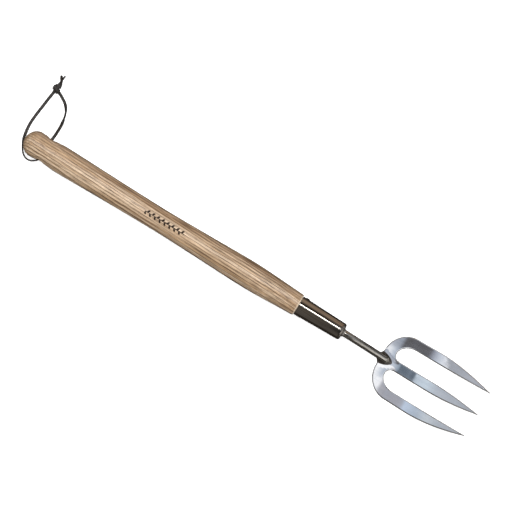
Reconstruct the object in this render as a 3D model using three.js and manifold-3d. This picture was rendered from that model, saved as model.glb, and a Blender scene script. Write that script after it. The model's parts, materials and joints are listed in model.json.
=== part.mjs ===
// A long-handled three-tine hand fork: a turned ash handle, a polished steel socket pinned over its
// tenon, a round neck rod whose tang runs into the tenon, a pressed steel fork head welded on the
// rod's end, and a leather hanging cord through the butt.
// Millimetres. +X runs from the butt to the tine tips, +Z is up. The fork lies on z = 0.

import * as THREE from 'three';
import { mergeVertices } from 'three/addons/utils/BufferGeometryUtils.js';
import Module from 'manifold-3d';

const wasm = await Module();
wasm.setup();

// Overall
const overallLength = 600;
const buttX = -overallLength / 2;
const tipX = overallLength / 2;
const gap = 0.3; // left between two pieces that touch

// Handle
const swellRadius = 15.7;
const axisZ = swellRadius; // the handle lies on its swell
const domeLength = 13.9;
const domeRadius = 15.3;
const shoulderX = 62;
const shoulderRadius = 13.1;
const shoulderRounding = 0.8;
const handleStations = [ // x, radius, between the butt's dome and the shoulder
  [buttX + domeLength, domeRadius], [-279, 14.95], [-270.5, 14.3], [-262, 14.95], [-252, 15.55],
  [-222, 15.05], [-178, 14.2], [-119, 13.6], [-64, 14.5], [-20, 15.55], [-4, swellRadius],
  [12, 15.4], [40, 14.1], [shoulderX - shoulderRounding, shoulderRadius],
];
const handleSides = 32;
const gripSteps = 32;

// Socket, and the tenon inside it
const socketRearX = shoulderX + gap;
const socketFrontX = 121.1;
const socketRearRadius = 11.5;
const socketFrontRadius = 10.1;
const socketWall = 1.2;
const socketFrontWall = 2;
const socketRounding = 2.2;
const tenonEndX = socketFrontX - socketFrontWall - 2 * gap;

// Rivet across the socket
const rivetX = 67.9;
const rivetRadius = 1.9;
const rivetHeadRadius = 2.9;
const rivetHeadHeight = 0.9;

// Hanging hole and cord
const cordHoleX = -273.1;
const cordHoleRadius = 2.7;
const cordMouthRadius = 5;
const cordMouthDepth = 3;
const cordWidth = 3;
const cordSides = 8;
const cordSteps = 56;

// Neck rod
const neckRadius = 4.1;
const neckSides = 16;
const neckRoute = [ // x, z
  [tenonEndX, axisZ], [121, axisZ], [128, 15.6], [140, 14.2], [152, 12], [163, 10.1],
  [171.4, 8.95], [180, 7.95],
];
const tangTipX = 76;
const tangRootRadius = 3.4;
const tangTipRadius = 1.8;

// Fork head
const plateThickness = 2.5;
const headRearX = 171.4;
const bellyStartX = 198;
const bellyEndX = 211;
const rootBendRadius = 180;
const tineBendRadius = 270;
const headHalfWidth = 39.8;
const shoulderStartX = 200;
const tineEdgeY = 6.3; // half the width of the middle tine
const outerTineInnerY = 27;
const slotRootX = 186.1;

const materials = {
  ash: new THREE.MeshStandardMaterial({ color: 0xb58d68, roughness: 0.5, metalness: 0 }),
  darkSteel: new THREE.MeshStandardMaterial({ color: 0x6f675f, roughness: 0.22, metalness: 1 }),
  mirrorSteel: new THREE.MeshStandardMaterial({ color: 0xcfd3d8, roughness: 0.12, metalness: 1 }),
  leather: new THREE.MeshStandardMaterial({ color: 0x33261e, roughness: 0.7, metalness: 0 }),
};

const part = new THREE.Group();

// A three.js geometry as a solid that can be cut and joined, and back again.
function solidOf(geometry) {
  const bare = geometry.index ? geometry.toNonIndexed() : geometry.clone();
  bare.deleteAttribute('normal');
  bare.deleteAttribute('uv');
  const merged = mergeVertices(bare, 1e-4);
  return new wasm.Manifold(new wasm.Mesh({
    numProp: 3,
    vertProperties: new Float32Array(merged.attributes.position.array),
    triVerts: new Uint32Array(merged.index.array),
  }));
}

function geometryOf(solid) {
  const mesh = solid.getMesh();
  const geometry = new THREE.BufferGeometry();
  geometry.setAttribute('position', new THREE.BufferAttribute(mesh.vertProperties, 3));
  geometry.setIndex(new THREE.BufferAttribute(mesh.triVerts, 1));
  geometry.computeVertexNormals();
  return geometry;
}

function addPiece(name, solid, material) {
  const piece = new THREE.Mesh(geometryOf(solid), material);
  piece.name = name;
  part.add(piece);
}

// Turned about the handle's axis, from [x, radius] points that run from rear to front.
function turnedOnAxis(points, sides) {
  const profile = points.map(([x, radius]) => new THREE.Vector2(radius, x));
  return solidOf(new THREE.LatheGeometry(profile, sides)
    .rotateZ(-Math.PI / 2)
    .translate(0, 0, axisZ));
}

// Turned about a crosswise line through the handle's axis, from [radius, y] points, low y first.
function turnedAcross(points, x, sides) {
  const profile = points.map(([radius, y]) => new THREE.Vector2(radius, y));
  return solidOf(new THREE.LatheGeometry(profile, sides).translate(x, 0, axisZ));
}

function roundTube(curve, radius, sides, steps) {
  const section = new THREE.Shape();
  for (let side = 0; side < sides; side += 1) {
    const angle = (2 * Math.PI * side) / sides;
    const corner = [radius * Math.cos(angle), radius * Math.sin(angle)];
    if (side === 0) section.moveTo(...corner);
    else section.lineTo(...corner);
  }
  section.closePath();
  return solidOf(new THREE.ExtrudeGeometry(section, { extrudePath: curve, steps }));
}

function curveThrough(points) {
  return new THREE.CatmullRomCurve3(points.map((point) => new THREE.Vector3(...point)), false, 'centripetal');
}

// Straight up from an outline in plan, between two heights.
function uprightPrism(outline, low, high) {
  const geometry = new THREE.ExtrudeGeometry(outline, {
    depth: high - low, bevelEnabled: false, curveSegments: 8,
  });
  return solidOf(geometry.translate(0, 0, low));
}

// Sideways from an outline drawn in x and z, over the whole width of the head.
function crosswisePrism(outline) {
  const width = 3 * headHalfWidth;
  const geometry = new THREE.ExtrudeGeometry(outline, { depth: width, bevelEnabled: false });
  return solidOf(geometry.rotateX(Math.PI / 2).translate(0, width / 2, 0));
}

function ellipsoid(centre, radii) {
  return solidOf(new THREE.SphereGeometry(1, 20, 12)
    .rotateX(Math.PI / 2)
    .scale(...radii)
    .translate(...centre));
}

// The socket's outside radius at x, on its straight taper.
function socketRadiusAt(x) {
  const share = (x - socketRearX) / (socketFrontX - socketRearX);
  return socketRearRadius + share * (socketFrontRadius - socketRearRadius);
}

function quarterTurn(steps, pointAt) {
  return Array.from({ length: steps + 1 }, (_, i) => pointAt((Math.PI / 2) * (i / steps)));
}

function makeHandle() {
  const dome = quarterTurn(6, (angle) => [
    buttX + domeLength * (1 - Math.cos(angle)),
    domeRadius * Math.sin(angle),
  ]);
  const grip = new THREE.SplineCurve(handleStations.map(([x, radius]) => new THREE.Vector2(x, radius)))
    .getSpacedPoints(gripSteps)
    .map((point) => [point.x, Math.min(point.y, swellRadius)]);
  const tenonWallGap = socketWall + gap;
  const shoulder = [
    [shoulderX, shoulderRadius - shoulderRounding],
    [shoulderX, socketRadiusAt(shoulderX) - tenonWallGap],
    [tenonEndX, socketRadiusAt(tenonEndX) - tenonWallGap],
    [tenonEndX, 0],
  ];
  const turned = turnedOnAxis([...dome, ...grip.slice(1), ...shoulder], handleSides);
  const tangBore = turnedOnAxis([
    [tangTipX - 2 * gap, 0],
    [tangTipX - 2 * gap, tangTipRadius + gap],
    [tenonEndX + 1, tangRootRadius + gap],
    [tenonEndX + 1, 0],
  ], neckSides);
  return turned.subtract(tangBore).subtract(makeCordHole()).subtract(makeRivetHole());
}

// The hole for the cord, with eased mouths.
function makeCordHole() {
  const mouthY = socketRearRadius + 3; // where the hole meets the handle's side
  const outsideY = swellRadius + 2;
  const straightY = mouthY - cordMouthDepth;
  const slope = (cordMouthRadius - cordHoleRadius) / cordMouthDepth;
  const outsideRadius = cordHoleRadius + slope * (outsideY - straightY);
  return turnedAcross([
    [0, -outsideY], [outsideRadius, -outsideY], [cordHoleRadius, -straightY],
    [cordHoleRadius, straightY], [outsideRadius, outsideY], [0, outsideY],
  ], cordHoleX, 16);
}

function makeRivetHole() {
  const reach = socketRearRadius + 2;
  const radius = rivetRadius + gap;
  return turnedAcross([[0, -reach], [radius, -reach], [radius, reach], [0, reach]], rivetX, 12);
}

function makeSocket() {
  const frontRim = quarterTurn(4, (angle) => [
    socketFrontX - socketRounding * (1 - Math.sin(angle)),
    socketFrontRadius - socketRounding * (1 - Math.cos(angle)),
  ]);
  const innerFrontX = socketFrontX - socketFrontWall;
  const turned = turnedOnAxis([
    [socketRearX, socketRearRadius - socketWall],
    [socketRearX, socketRearRadius],
    ...frontRim,
    [socketFrontX, neckRadius + gap],
    [innerFrontX, neckRadius + gap],
    [innerFrontX, socketRadiusAt(innerFrontX) - socketWall],
    [socketRearX, socketRearRadius - socketWall],
  ], handleSides);
  return turned.subtract(makeRivetHole());
}

function makeRivet() {
  const seatY = socketRadiusAt(rivetX) + gap;
  const halfHead = quarterTurn(4, (angle) => [
    rivetHeadRadius * Math.cos(angle),
    seatY + rivetHeadHeight * Math.sin(angle),
  ]);
  const farHead = halfHead.map(([radius, y]) => [radius, -y]).reverse();
  return turnedAcross([...farHead, [rivetRadius, -seatY], [rivetRadius, seatY], ...halfHead], rivetX, 12);
}

function makeSocketWeld() {
  const startX = socketFrontX + gap;
  const innerRadius = neckRadius + gap;
  const beadHeight = 1.7;
  const beadLength = 2;
  return turnedOnAxis([
    [startX, innerRadius],
    [startX, innerRadius + beadHeight],
    [startX + 0.4 * beadLength, innerRadius + 0.55 * beadHeight],
    [startX + beadLength, innerRadius + 0.15],
    [startX + beadLength, innerRadius],
    [startX, innerRadius],
  ], neckSides);
}

const neckCurve = curveThrough(neckRoute.map(([x, z]) => [x, 0, z]));

// The bent rod with its round end, of any radius.
function bentRod(radius) {
  const [endX, endZ] = neckRoute[neckRoute.length - 1];
  const end = ellipsoid([endX, 0, endZ], [radius, radius - 0.02, radius - 0.02]);
  return roundTube(neckCurve, radius, neckSides, 20).add(end);
}

function makeNeckRod() {
  const tang = turnedOnAxis([
    [tangTipX, 0],
    [tangTipX, tangTipRadius],
    [tenonEndX + 0.5, tangRootRadius],
    [tenonEndX + 0.5, 0],
  ], neckSides);
  return bentRod(neckRadius).add(tang);
}

// Heights of the plate's underside: a rising root, a short flat belly, and tines that curve up.
function undersideAt(x) {
  if (x < bellyStartX) return rootBendRadius - Math.sqrt(rootBendRadius ** 2 - (bellyStartX - x) ** 2);
  if (x > bellyEndX) return tineBendRadius - Math.sqrt(tineBendRadius ** 2 - (x - bellyEndX) ** 2);
  return 0;
}

function plateStations() {
  const rootSteps = 4;
  const tineSteps = 12;
  const startX = headRearX - 1;
  const root = Array.from({ length: rootSteps }, (_, i) => startX + ((bellyStartX - startX) * i) / rootSteps);
  const tines = Array.from({ length: tineSteps + 1 }, (_, i) => bellyEndX + ((tipX + 1 - bellyEndX) * i) / tineSteps);
  return [...root, bellyStartX, ...tines];
}

// The space between two offsets from the underside, as seen from the side.
function bentLayer(low, high) {
  const stations = plateStations();
  const lower = stations.map((x) => new THREE.Vector2(x, undersideAt(x) + low));
  const upper = stations.map((x) => new THREE.Vector2(x, undersideAt(x) + high)).reverse();
  return crosswisePrism(new THREE.Shape([...lower, ...upper]));
}

// Half of the head's edge in plan, drawn from the rear edge round to the tip of the middle tine.
function drawHalfEdge(path) {
  path.lineTo(172, 10);
  path.bezierCurveTo(172, 26.2, 184.5, headHalfWidth - 0.5, shoulderStartX, headHalfWidth - 0.5);
  path.lineTo(230, headHalfWidth);
  path.bezierCurveTo(255, headHalfWidth, 280, 34, 299.2, 28.6);
  path.quadraticCurveTo(tipX + 0.4, 28, 299.2, 27.7);
  path.lineTo(205, outerTineInnerY);
  path.bezierCurveTo(193, outerTineInnerY, slotRootX, 20, slotRootX, 13);
  path.bezierCurveTo(slotRootX, 8.8, 189.5, tineEdgeY, 193, tineEdgeY);
  path.lineTo(235, tineEdgeY);
  path.bezierCurveTo(262, tineEdgeY, 283, 3, 299.2, 0.6);
}

function makeForkHead() {
  const edge = new THREE.Path();
  edge.moveTo(headRearX, 0);
  drawHalfEdge(edge);
  const half = edge.getPoints(8);
  const otherHalf = half.slice(1).reverse().map((point) => new THREE.Vector2(point.x, -point.y));
  const outline = new THREE.Shape([...half, new THREE.Vector2(tipX, 0), ...otherHalf]);
  return bentLayer(0, plateThickness).intersect(uprightPrism(outline, -5, 40));
}

// The bead that joins the rod's end to the plate, drawn out to a rounded tip in front.
function makeHeadWeld() {
  const mound = ellipsoid([174.6, 0, 5.1], [11.5, 7.7, 4.4]);
  const plateRoom = bentLayer(-6, plateThickness + gap);
  return mound.subtract(bentRod(neckRadius + gap)).subtract(plateRoom);
}

const cordRoute = [ // from the knot round the butt, through the hole and back to the knot
  [-299.5, 60.6, 1.7], [-299.9, 49, 1.6], [-301.5, 36, 1.6], [-302.7, 24, 1.7], [-303.2, 13, 2],
  [-302.5, 3, 2.9], [-300.2, -6.4, 4.7], [-296.4, -14, 7.4], [-290.8, -18.8, 10.7],
  [-285, -20.1, 13.3], [-280, -18.9, 14.9], [-276.5, -16.3, 15.55], [-274.1, -12.6, axisZ],
  [cordHoleX, -7, axisZ], [cordHoleX, 0, axisZ], [cordHoleX, 14, axisZ], [-272.9, 20.4, 14.9],
  [-272.6, 27, 12], [-272.8, 33.5, 7.9], [-273.6, 39.8, 4.2], [-275.4, 45.8, 2.2],
  [-278.7, 51.2, 1.7], [-283.8, 55.8, 1.6], [-289.4, 59.2, 1.6], [-293.6, 61.6, 1.7],
];
const knotCentre = [-298.4, 67.6, 3.9];
const knotRadii = [5.2, 6.4, 3.7];
const tailRoutes = [
  [knotCentre, [-298.4, 73, 2.4], [-299.2, 77, 1.6], [-300.8, 80.6, 1.5]],
  [knotCentre, [-296.2, 73, 2.4], [-296.2, 77.5, 1.6], [-297.4, 82.6, 1.5]],
];

function makeCord() {
  return roundTube(curveThrough(cordRoute), cordWidth / 2, cordSides, cordSteps);
}

function makeKnot() {
  const tails = tailRoutes.map((route) => roundTube(curveThrough(route), 0.45 * cordWidth, cordSides, 6));
  return tails.reduce((knot, tail) => knot.add(tail), ellipsoid(knotCentre, knotRadii));
}

addPiece('handle', makeHandle(), materials.ash);
addPiece('socket', makeSocket(), materials.darkSteel);
addPiece('socket_rivet', makeRivet(), materials.darkSteel);
addPiece('socket_weld', makeSocketWeld(), materials.darkSteel);
addPiece('neck_rod', makeNeckRod(), materials.darkSteel);
addPiece('fork_head', makeForkHead(), materials.mirrorSteel);
addPiece('head_weld', makeHeadWeld(), materials.darkSteel);
addPiece('hanging_cord', makeCord(), materials.leather);
addPiece('cord_knot', makeKnot(), materials.leather);

export default part;
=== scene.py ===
import json
import math
import bmesh
import bpy
from mathutils import Matrix, Vector


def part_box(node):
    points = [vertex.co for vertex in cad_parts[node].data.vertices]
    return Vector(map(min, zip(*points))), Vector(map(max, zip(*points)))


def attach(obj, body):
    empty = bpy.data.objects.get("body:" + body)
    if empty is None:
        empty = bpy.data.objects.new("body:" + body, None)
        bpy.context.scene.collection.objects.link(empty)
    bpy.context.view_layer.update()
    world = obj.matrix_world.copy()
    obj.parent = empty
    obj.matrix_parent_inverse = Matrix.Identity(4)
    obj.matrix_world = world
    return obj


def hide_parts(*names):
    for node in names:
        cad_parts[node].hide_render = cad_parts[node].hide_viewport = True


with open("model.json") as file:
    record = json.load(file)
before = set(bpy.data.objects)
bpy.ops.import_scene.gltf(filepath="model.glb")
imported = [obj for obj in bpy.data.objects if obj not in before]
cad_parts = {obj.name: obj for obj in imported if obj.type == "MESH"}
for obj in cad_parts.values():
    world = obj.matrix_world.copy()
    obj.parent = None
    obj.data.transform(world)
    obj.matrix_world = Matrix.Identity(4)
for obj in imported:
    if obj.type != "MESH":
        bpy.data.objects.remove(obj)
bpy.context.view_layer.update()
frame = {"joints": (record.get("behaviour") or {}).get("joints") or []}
mm = 0.001

# The places that the other pieces are worked out from, in metres.
handleLow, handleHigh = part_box("handle")
socketLow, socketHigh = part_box("socket")
holePlace = Vector(frame["joints"][0]["pos_m"])
axisZ = holePlace.z


# Mesh helpers that several pieces use.

def meshPiece(name, points, faces):
    mesh = bpy.data.meshes.new(name)
    mesh.from_pydata([tuple(p) for p in points], [], faces)
    mesh.validate()
    piece = bpy.data.objects.new(name, mesh)
    bpy.context.scene.collection.objects.link(piece)
    return piece


def shadeSmooth(piece, sharpAngle=35):
    piece.data.shade_smooth()
    piece.data.set_sharp_from_angle(angle=math.radians(sharpAngle))


def tidyNormals(piece):
    bm = bmesh.new()
    bm.from_mesh(piece.data)
    bmesh.ops.recalc_face_normals(bm, faces=bm.faces)
    bm.to_mesh(piece.data)
    bm.free()


def smoothThrough(points, steps):
    # A Catmull-Rom line through the points, with this many steps between each two.
    points = [Vector(p) for p in points]
    padded = [2 * points[0] - points[1], *points, 2 * points[-1] - points[-2]]
    line = []
    for i in range(len(points) - 1):
        a, b, c, d = padded[i:i + 4]
        for k in range(steps):
            t = k / steps
            line.append(0.5 * (2 * b + (c - a) * t + (2 * a - 5 * b + 4 * c - d) * t ** 2
                               + (3 * b - a - 3 * c + d) * t ** 3))
    return [*line, points[-1]]


def evenly(line, step):
    # The same line with its points this far apart.
    along = [0.0]
    for a, b in zip(line, line[1:]):
        along.append(along[-1] + (b - a).length)
    count = max(2, round(along[-1] / step))
    spaced, i = [], 0
    for k in range(count + 1):
        at = along[-1] * k / count
        while i < len(line) - 2 and along[i + 1] < at:
            i += 1
        share = (at - along[i]) / max(along[i + 1] - along[i], 1e-9)
        spaced.append(line[i].lerp(line[i + 1], min(1, share)))
    return spaced


def baked(piece):
    # The piece with its modifiers made real.
    graph = bpy.context.evaluated_depsgraph_get()
    mesh = bpy.data.meshes.new_from_object(piece.evaluated_get(graph), depsgraph=graph)
    piece.modifiers.clear()
    piece.data = mesh
    return piece


def put(tree, kind, inputs=None, **settings):
    node = tree.nodes.new(kind)
    for name, value in settings.items():
        setattr(node, name, value)
    for key, value in (inputs or {}).items():
        wire(tree, value, node.inputs[key])
    return node


def wire(tree, value, socket):
    if isinstance(value, bpy.types.NodeSocket):
        tree.links.new(value, socket)
    else:
        socket.default_value = value


def calc(tree, operation, *values, clamp=False):
    node = put(tree, "ShaderNodeMath", operation=operation, use_clamp=clamp)
    for value, socket in zip(values, node.inputs):
        wire(tree, value, socket)
    return node.outputs[0]


def times(tree, a, b):
    return calc(tree, "MULTIPLY", a, b)


def plus(tree, a, b):
    return calc(tree, "ADD", a, b)


def minus(tree, a, b):
    return calc(tree, "SUBTRACT", a, b)


def shapeTree(name, sizes):
    # An empty Geometry Nodes tree with its sizes as named inputs.
    tree = bpy.data.node_groups.new(name, "GeometryNodeTree")
    tree.interface.new_socket(name="Geometry", in_out="INPUT", socket_type="NodeSocketGeometry")
    for size, kind in sizes:
        tree.interface.new_socket(name=size, in_out="INPUT", socket_type=kind)
    tree.interface.new_socket(name="Material", in_out="INPUT", socket_type="NodeSocketMaterial")
    tree.interface.new_socket(name="Geometry", in_out="OUTPUT", socket_type="NodeSocketGeometry")
    return tree, tree.nodes.new("NodeGroupInput").outputs


def finishTree(tree, shape, given):
    real = put(tree, "GeometryNodeRealizeInstances", {"Geometry": shape})
    dressed = put(tree, "GeometryNodeSetMaterial",
                  {"Geometry": real.outputs[0], "Material": given["Material"]})
    put(tree, "NodeGroupOutput", {"Geometry": dressed.outputs[0]})
    return tree


def latheTree():
    # Turns an outline of (x, 0, radius) points about the X axis.
    tree, given = shapeTree("turnOnLathe", [("Sides", "NodeSocketInt")])
    outline = given["Geometry"]
    count = put(tree, "GeometryNodeAttributeDomainSize", {"Geometry": outline}).outputs["Point Count"]
    row = plus(tree, given["Sides"], 1)
    grid = put(tree, "GeometryNodeMeshGrid",
               {"Size X": 1, "Size Y": 1, "Vertices X": count, "Vertices Y": row})
    index = put(tree, "GeometryNodeInputIndex").outputs[0]
    station = calc(tree, "FLOOR", calc(tree, "DIVIDE", plus(tree, index, 0.5), row))
    turn = minus(tree, index, times(tree, station, row))
    angle = times(tree, calc(tree, "DIVIDE", turn, given["Sides"]), 2 * math.pi)
    place = put(tree, "GeometryNodeInputPosition").outputs[0]
    sampled = put(tree, "GeometryNodeSampleIndex", {"Geometry": outline, "Index": station},
                  data_type="FLOAT_VECTOR", domain="POINT")
    wire(tree, place, sampled.inputs["Value"])
    parts = put(tree, "ShaderNodeSeparateXYZ", {0: sampled.outputs[0]}).outputs
    turned = put(tree, "ShaderNodeCombineXYZ", {
        "X": parts["X"],
        "Y": times(tree, parts["Z"], calc(tree, "SINE", angle)),
        "Z": times(tree, parts["Z"], calc(tree, "COSINE", angle))})
    placed = put(tree, "GeometryNodeSetPosition",
                 {"Geometry": grid.outputs["Mesh"], "Position": turned.outputs[0]})
    closed = put(tree, "GeometryNodeMergeByDistance", {"Geometry": placed.outputs[0], "Distance": 2e-6})
    return finishTree(tree, closed.outputs[0], given)


def sweepTree(name, isRound):
    # Carries a section along a line of points, each with its own size and turn.
    sizes = [("Width", "NodeSocketFloat"), ("Thickness", "NodeSocketFloat"), ("Sides", "NodeSocketInt")]
    tree, given = shapeTree(name, sizes)
    curve = put(tree, "GeometryNodeMeshToCurve", {"Mesh": given["Geometry"]})
    upright = put(tree, "GeometryNodeSetCurveNormal", {"Curve": curve.outputs[0]}, mode="Z_UP")
    turn = put(tree, "GeometryNodeInputNamedAttribute", {"Name": "turn"}, data_type="FLOAT")
    tilted = put(tree, "GeometryNodeSetCurveTilt", {"Curve": upright.outputs[0], "Tilt": turn.outputs[0]})
    size = put(tree, "GeometryNodeInputNamedAttribute", {"Name": "size"}, data_type="FLOAT")
    sized = put(tree, "GeometryNodeSetCurveRadius", {"Curve": tilted.outputs[0], "Radius": size.outputs[0]})
    if isRound:
        half = times(tree, given["Width"], 0.5)
        section = put(tree, "GeometryNodeCurvePrimitiveCircle",
                      {"Resolution": given["Sides"], "Radius": half})
    else:
        flat = put(tree, "GeometryNodeCurvePrimitiveQuadrilateral",
                   {"Width": given["Width"], "Height": given["Thickness"]})
        corner = times(tree, given["Thickness"], 0.38)
        section = put(tree, "GeometryNodeFilletCurve",
                      {"Curve": flat.outputs[0], "Radius": corner, "Count": given["Sides"]}, mode="POLY")
    swept = put(tree, "GeometryNodeCurveToMesh",
                {"Curve": sized.outputs[0], "Profile Curve": section.outputs[0], "Fill Caps": True})
    if "Scale" in swept.inputs:
        wire(tree, size.outputs[0], swept.inputs["Scale"])
    return finishTree(tree, swept.outputs[0], given)


def shapedBy(piece, tree, sizes, sharpAngle=35):
    # The piece as the tree makes it, as a plain mesh.
    nodes = piece.modifiers.new("shape", "NODES")
    nodes.node_group = tree
    for socket in tree.interface.items_tree:
        if socket.in_out == "INPUT" and socket.name in sizes:
            nodes[socket.identifier] = sizes[socket.name]
    baked(piece)
    tidyNormals(piece)
    shadeSmooth(piece, sharpAngle)
    return piece


def linePiece(name, points, attributes):
    mesh = bpy.data.meshes.new(name)
    mesh.from_pydata([tuple(p) for p in points], [(i, i + 1) for i in range(len(points) - 1)], [])
    for key, values in attributes.items():
        mesh.attributes.new(key, "FLOAT", "POINT").data.foreach_set("value", values)
    piece = bpy.data.objects.new(name, mesh)
    bpy.context.scene.collection.objects.link(piece)
    return piece


turnOnLathe = latheTree()
flatSweep = sweepTree("sweepFlat", False)
roundSweep = sweepTree("sweepRound", True)


def turnedPiece(name, profile, sides, place, sharpAngle=35):
    # profile holds (along, radius) in metres. place puts the X axis where the piece's axis is.
    piece = linePiece(name, [(x, 0, r) for x, r in profile], {})
    shapedBy(piece, turnOnLathe, {"Sides": sides}, sharpAngle)
    piece.data.transform(place)
    return piece


def sweptPiece(name, line, width, thickness, turns, sizes=None, tree=None, sides=4, sharpAngle=50):
    piece = linePiece(name, line, {"turn": turns, "size": sizes or [1.0] * len(line)})
    settings = {"Width": width, "Thickness": thickness, "Sides": sides}
    return shapedBy(piece, tree or flatSweep, settings, sharpAngle)


onHandleAxis = Matrix.Translation((0, 0, axisZ))


def acrossHandle(x):
    return Matrix.Translation((x, 0, axisZ)) @ Matrix.Rotation(math.radians(90), 4, "Z")


def cutAway(piece, cutter):
    cut = piece.modifiers.new("cut", "BOOLEAN")
    cut.object, cut.operation, cut.solver = cutter, "DIFFERENCE", "EXACT"
    baked(piece)
    bpy.data.objects.remove(cutter)


def bezier(a, b, c, d, steps):
    line = []
    for k in range(steps):
        t = k / steps
        s = 1 - t
        line.append((s ** 3 * a[0] + 3 * s * s * t * b[0] + 3 * s * t * t * c[0] + t ** 3 * d[0],
                     s ** 3 * a[1] + 3 * s * s * t * b[1] + 3 * s * t * t * c[1] + t ** 3 * d[1]))
    return line


def easeBetween(value, low, high):
    t = min(1, max(0, (value - low) / (high - low)))
    return t * t * (3 - 2 * t)


# The camera, above the tool, leaned and rolled.

cameraView = {
    "centre": (-0.0078, 0.0224),   # what it looks at, in x and y
    "frameWidth": 0.579,
    "lens": 320,
    "rollDeg": 31.5,
    "leanDeg": 6,                  # towards -Y from straight above
}


def makeCamera():
    data = bpy.data.cameras.new("camera")
    data.lens, data.sensor_width = cameraView["lens"], 36
    data.clip_end = 20
    camera = bpy.data.objects.new("camera", data)
    bpy.context.scene.collection.objects.link(camera)
    lean, roll = math.radians(cameraView["leanDeg"]), math.radians(cameraView["rollDeg"])
    back = Vector((0, -math.sin(lean), math.cos(lean)))
    level, up = Vector((1, 0, 0)), Vector((0, math.cos(lean), math.sin(lean)))
    right = level * math.cos(roll) + up * math.sin(roll)
    top = -level * math.sin(roll) + up * math.cos(roll)
    distance = cameraView["frameWidth"] * data.lens / data.sensor_width
    place = Vector((*cameraView["centre"], axisZ)) + back * distance
    camera.matrix_world = Matrix.Translation(place) @ Matrix((right, top, back)).transposed().to_4x4()
    bpy.context.scene.camera = camera


makeCamera()
print("camera placed")

# The hanging cord, one flat lace with a knot in its two ends.

lace = {
    "width": 3.6 * mm,
    "thickness": 1.6 * mm,
    "step": 0.8 * mm,
    "route": [   # from the knot round the butt, through the hole and back to the knot, in millimetres
        (-300.2, 66, 2.8), (-300.6, 63, 2), (-301.6, 54.8, 1.6), (-302.8, 43.5, 1.6), (-304, 32.2, 1.6),
        (-304.7, 22.5, 1.7), (-304.5, 14.3, 2), (-302.9, 3.6, 2.9), (-300.5, -4.2, 4.6), (-296.9, -11, 7),
        (-292.6, -16.2, 10), (-287.4, -19.1, 12.6), (-282, -19, 14.6), (-277.6, -16.6, 15.5),
        (-274.6, -13, 15.7), (-273.1, -7, 15.7), (-273.1, 0, 15.7), (-273.1, 14, 15.7), (-272.8, 20.4, 14.6),
        (-272.8, 26.6, 12), (-273.2, 34, 7.9), (-274.3, 41, 4.4), (-276.2, 48, 2.4), (-278.9, 53.6, 1.8),
        (-283, 58.3, 1.6), (-288.4, 62, 1.6), (-293.6, 64.7, 1.8), (-297.2, 66.2, 2.6),
    ],
    # How far the lace is turned from lying flat, as (share of the way, degrees).
    "turns": [(0, 0), (0.28, 6), (0.38, 84), (0.56, 88), (0.66, 8), (0.78, 4), (0.835, 74), (0.86, 74),
              (0.92, 8), (1, 0)],
    "knotMiddle": (-299.7, 69.6, 4.9),
    "knotAhead": (-0.05, 1, -0.02),
}


def alongTurns(share):
    turns = lace["turns"]
    for (a, low), (b, high) in zip(turns, turns[1:]):
        if share <= b:
            return math.radians(low + (high - low) * easeBetween(share, a, b))
    return math.radians(turns[-1][1])


def makeLace():
    line = evenly(smoothThrough([Vector(p) * mm for p in lace["route"]], 12), lace["step"])
    turns = [alongTurns(i / (len(line) - 1)) for i in range(len(line))]
    for point, turn in zip(line, turns):
        # Low parts rest on the ground on their flat side or their edge.
        rest = (lace["width"] * abs(math.sin(turn)) + lace["thickness"] * abs(math.cos(turn))) / 2 + 0.1 * mm
        onGround = 1 - easeBetween(point.z, 2 * mm, 4 * mm)
        point.z += (rest - point.z) * onGround
        point.z = max(point.z, rest)
    holeAt = min(range(len(line)), key=lambda i: (line[i] - holePlace).length)
    piece = sweptPiece("leather_lace", line, lace["width"], lace["thickness"], turns)
    # As a cord it runs from the hole round to the knot and back to the hole.
    path = [*reversed(line[:holeAt + 1]), *reversed(line[holeAt:])]
    return piece, path


def turnsFor(line, acrossAt):
    # The turn from level that lays the lace's width along the wanted direction at each point.
    turns = []
    for i, point in enumerate(line):
        tangent = (line[min(i + 1, len(line) - 1)] - line[max(i - 1, 0)]).normalized()
        level = tangent.cross(Vector((0, 0, 1)))
        level = level.normalized() if level.length > 1e-4 else Vector((1, 0, 0))
        wanted = acrossAt(i, tangent)
        turn = math.atan2(tangent.cross(level).dot(wanted), level.dot(wanted))
        while turns and turn - turns[-1] > math.pi / 2:
            turn -= math.pi
        while turns and turn - turns[-1] < -math.pi / 2:
            turn += math.pi
        turns.append(turn)
    return turns


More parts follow.
